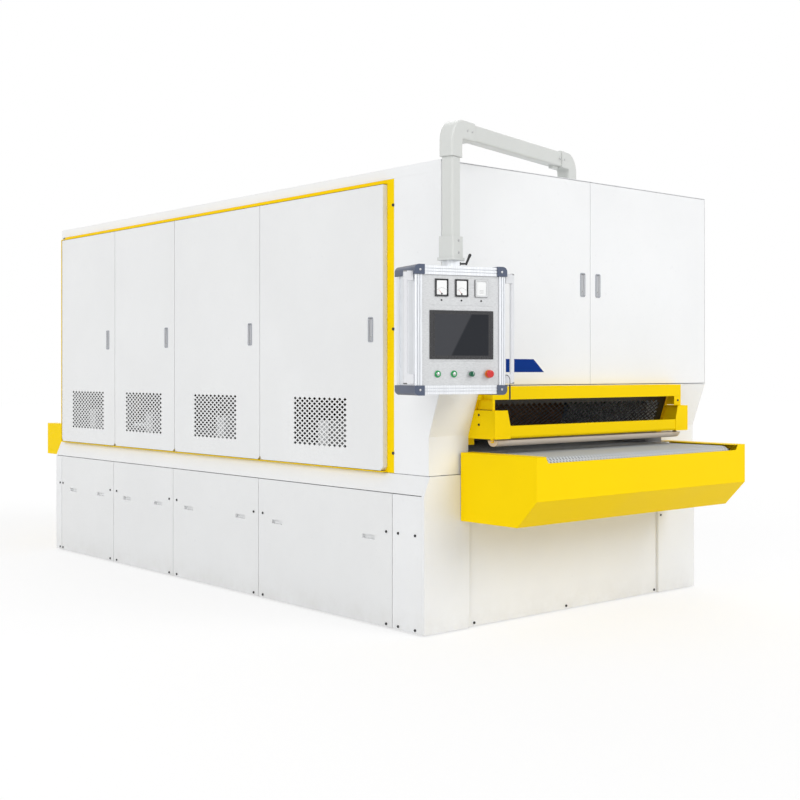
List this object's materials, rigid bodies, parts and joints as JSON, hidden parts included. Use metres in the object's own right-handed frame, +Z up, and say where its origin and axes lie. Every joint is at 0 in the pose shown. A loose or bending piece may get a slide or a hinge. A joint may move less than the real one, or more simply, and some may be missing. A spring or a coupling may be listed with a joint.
{
  "type": "combination sanding machine",
  "caption": "Through-feed wide-belt sanding machine with a lifting conveyor table, hinged side and front doors, sanding heads and a swivelling control panel.",
  "frame": {"origin": "centre of the four anchor holes, on the floor plane", "axes": "+Y is the feed direction, from the infeed apron to the outfeed apron; +Z is up; +X is towards the drive side"},
  "size_m": [2.5961, 5.35, 2.547],
  "materials": {
    "white_paint": "semi-gloss powder coat",
    "door_paint": "semi-gloss powder coat",
    "yellow_paint": "gloss powder coat",
    "cream_paint": "semi-gloss paint",
    "arm_paint": "semi-gloss paint",
    "case_aluminium": "satin anodised",
    "fascia_aluminium": "satin anodised",
    "dark_blue_paint": "semi-gloss paint",
    "screen_black": "gloss",
    "meter_black": "gloss",
    "handle_white": "semi-gloss paint",
    "black_steel": "satin black",
    "steel": "brushed",
    "dark_grey_metal": "machined casting",
    "latch_metal": "satin",
    "belt_rubber": "fine ribbed",
    "drum_rubber": "ground rubber",
    "abrasive": "abrasive cloth",
    "brush_fibre": "bristle",
    "black_plastic": "satin",
    "green_plastic": "gloss",
    "red_plastic": "gloss"
  },
  "bodies": {
    "frame": {"base_frame": "white_paint", "base_casings": "white_paint", "base_covers": "door_paint", "cover_bolts": "black_steel", "screw_jacks": "dark_grey_metal", "front_corner_left": "white_paint", "right_side_wall": "white_paint", "roof_panel": "white_paint", "rear_wall": "white_paint", "side_door_frame": "yellow_paint", "head_frame": "white_paint", "dust_outlets": "steel", "infeed_hood": "yellow_paint", "guard_frame": "yellow_paint", "guard_mesh": "black_steel", "arm_pedestal": "arm_paint", "head_beams": "white_paint", "abrasive_belts": "abrasive", "main_motors": "dark_blue_paint"},
    "side_door_1": {"side_door_1": "door_paint"},
    "side_door_2": {"side_door_2": "door_paint"},
    "side_door_3": {"side_door_3": "door_paint"},
    "side_door_4": {"side_door_4": "door_paint"},
    "side_latch_1": {"side_latch_1": "latch_metal"},
    "side_latch_2": {"side_latch_2": "latch_metal"},
    "side_latch_3": {"side_latch_3": "latch_metal"},
    "side_latch_4": {"side_latch_4": "latch_metal"},
    "front_door_left": {"front_door_left": "white_paint"},
    "front_door_right": {"front_door_right": "white_paint"},
    "front_latch_left": {"front_latch_left": "latch_metal"},
    "front_latch_right": {"front_latch_right": "latch_metal"},
    "safety_bar": {"safety_bar": "cream_paint"},
    "arm": {"support_arm": "arm_paint", "drop_tube": "arm_paint"},
    "panel": {"panel_case": "case_aluminium", "panel_corners": "dark_blue_paint", "panel_fascia": "fascia_aluminium", "panel_screen": "screen_black", "panel_meters": "meter_black", "panel_handles": "handle_white", "pen_cord": "black_plastic", "touch_pen": "black_plastic"},
    "green_button_1": {"green_button_1": "green_plastic"},
    "green_button_2": {"green_button_2": "green_plastic"},
    "selector_switch": {"selector_switch": "black_plastic"},
    "e_stop_button": {"e_stop_button": "red_plastic"},
    "table": {"table_bed": "steel", "infeed_apron": "yellow_paint", "outfeed_apron": "yellow_paint", "lift_screws": "steel", "conveyor_belt": "belt_rubber"},
    "nose_roller": {"nose_roller": "steel"},
    "drive_roller": {"drive_roller": "steel"},
    "contact_drum_1": {"contact_drum_1": "drum_rubber"},
    "contact_drum_2": {"contact_drum_2": "drum_rubber"},
    "contact_drum_3": {"contact_drum_3": "drum_rubber"},
    "tension_roller_1": {"tension_roller_1": "steel"},
    "tension_roller_2": {"tension_roller_2": "steel"},
    "tension_roller_3": {"tension_roller_3": "steel"},
    "brush_roller": {"brush_roller": "brush_fibre"}
  },
  "joints": [
    {"name": "table_lift", "type": "slide", "parent": "frame", "child": "table", "axis": [0, 0, 1], "range_m": [-0.11, 0.03]},
    {"name": "nose_roller_turn", "type": "hinge", "parent": "table", "child": "nose_roller", "pos_m": [0, -2.497, 0.842], "axis": [1, 0, 0], "continuous": true},
    {"name": "drive_roller_turn", "type": "hinge", "parent": "table", "child": "drive_roller", "pos_m": [0, 2.667, 0.842], "axis": [1, 0, 0], "continuous": true},
    {"name": "side_door_1_hinge", "type": "hinge", "parent": "frame", "child": "side_door_1", "pos_m": [-1.105, -0.61, 1.55], "axis": [0, 0, -1], "range_deg": [0, 105]},
    {"name": "side_latch_1_hinge", "type": "hinge", "parent": "side_door_1", "child": "side_latch_1", "pos_m": [-1.104, -1.628, 1.603], "axis": [0, 1, 0], "range_deg": [0, 40]},
    {"name": "side_door_2_hinge", "type": "hinge", "parent": "frame", "child": "side_door_2", "pos_m": [-1.105, 0.36, 1.55], "axis": [0, 0, -1], "range_deg": [0, 105]},
    {"name": "side_latch_2_hinge", "type": "hinge", "parent": "side_door_2", "child": "side_latch_2", "pos_m": [-1.104, -0.501, 1.603], "axis": [0, 1, 0], "range_deg": [0, 40]},
    {"name": "side_door_3_hinge", "type": "hinge", "parent": "frame", "child": "side_door_3", "pos_m": [-1.105, 1.161, 1.55], "axis": [0, 0, -1], "range_deg": [0, 105]},
    {"name": "side_latch_3_hinge", "type": "hinge", "parent": "side_door_3", "child": "side_latch_3", "pos_m": [-1.104, 0.469, 1.603], "axis": [0, 1, 0], "range_deg": [0, 40]},
    {"name": "side_door_4_hinge", "type": "hinge", "parent": "frame", "child": "side_door_4", "pos_m": [-1.105, 1.979, 1.55], "axis": [0, 0, -1], "range_deg": [0, 105]},
    {"name": "side_latch_4_hinge", "type": "hinge", "parent": "side_door_4", "child": "side_latch_4", "pos_m": [-1.104, 1.27, 1.603], "axis": [0, 1, 0], "range_deg": [0, 40]},
    {"name": "front_door_left_hinge", "type": "hinge", "parent": "frame", "child": "front_door_left", "pos_m": [-1.062, -2.132, 1.8], "axis": [0, 0, -1], "range_deg": [0, 24]},
    {"name": "front_door_right_hinge", "type": "hinge", "parent": "frame", "child": "front_door_right", "pos_m": [1.102, -2.132, 1.8], "axis": [0, 0, 1], "range_deg": [0, 110]},
    {"name": "front_latch_left_hinge", "type": "hinge", "parent": "front_door_left", "child": "front_latch_left", "pos_m": [-0.014, -2.134, 1.861], "axis": [-1, 0, 0], "range_deg": [0, 40]},
    {"name": "front_latch_right_hinge", "type": "hinge", "parent": "front_door_right", "child": "front_latch_right", "pos_m": [0.114, -2.134, 1.861], "axis": [-1, 0, 0], "range_deg": [0, 40]},
    {"name": "safety_bar_hinge", "type": "hinge", "parent": "frame", "child": "safety_bar", "pos_m": [0, -2.182, 0.973], "axis": [1, 0, 0], "range_deg": [0, 25]},
    {"name": "arm_swivel", "type": "hinge", "parent": "frame", "child": "arm", "pos_m": [0.002, -2.01, 2.43], "axis": [0, 0, 1], "range_deg": [0, 100]},
    {"name": "panel_swivel", "type": "hinge", "parent": "arm", "child": "panel", "pos_m": [-1.17132, -2.30973, 1.87], "axis": [0, 0, 1], "range_deg": [-30, 15]},
    {"name": "green_button_1_press", "type": "slide", "parent": "panel", "child": "green_button_1", "axis": [0.2924, 0.9563, 0], "range_m": [0, 0.004], "stiffness_N_per_m": 300},
    {"name": "green_button_2_press", "type": "slide", "parent": "panel", "child": "green_button_2", "axis": [0.2924, 0.9563, 0], "range_m": [0, 0.004], "stiffness_N_per_m": 300},
    {"name": "e_stop_button_press", "type": "slide", "parent": "panel", "child": "e_stop_button", "axis": [0.2924, 0.9563, 0], "range_m": [0, 0.004], "stiffness_N_per_m": 400},
    {"name": "selector_turn", "type": "hinge", "parent": "panel", "child": "selector_switch", "pos_m": [-1.15213, -2.43167, 1.318], "axis": [0.2924, 0.9563, 0], "range_deg": [-45, 45]},
    {"name": "contact_drum_1_turn", "type": "hinge", "parent": "frame", "child": "contact_drum_1", "pos_m": [0, -1.1665, 1.0973], "axis": [1, 0, 0], "continuous": true},
    {"name": "tension_roller_1_turn", "type": "hinge", "parent": "frame", "child": "tension_roller_1", "pos_m": [0, -1.1665, 2.01], "axis": [1, 0, 0], "continuous": true},
    {"name": "contact_drum_2_turn", "type": "hinge", "parent": "frame", "child": "contact_drum_2", "pos_m": [0, -0.118, 1.0673], "axis": [1, 0, 0], "continuous": true},
    {"name": "tension_roller_2_turn", "type": "hinge", "parent": "frame", "child": "tension_roller_2", "pos_m": [0, -0.118, 2.01], "axis": [1, 0, 0], "continuous": true},
    {"name": "contact_drum_3_turn", "type": "hinge", "parent": "frame", "child": "contact_drum_3", "pos_m": [0, 0.7675, 1.0523], "axis": [1, 0, 0], "continuous": true},
    {"name": "tension_roller_3_turn", "type": "hinge", "parent": "frame", "child": "tension_roller_3", "pos_m": [0, 0.7675, 2.01], "axis": [1, 0, 0], "continuous": true},
    {"name": "brush_roller_turn", "type": "hinge", "parent": "frame", "child": "brush_roller", "pos_m": [0, 1.577, 1.0873], "axis": [1, 0, 0], "continuous": true}
  ],
  "couplings": [
    {"joint": "nose_roller_turn", "follows": "drive_roller_turn", "ratio": 1},
    {"joint": "tension_roller_1_turn", "follows": "contact_drum_1_turn", "ratio": 2.5},
    {"joint": "tension_roller_2_turn", "follows": "contact_drum_2_turn", "ratio": 2},
    {"joint": "tension_roller_3_turn", "follows": "contact_drum_3_turn", "ratio": 1.75}
  ]
}
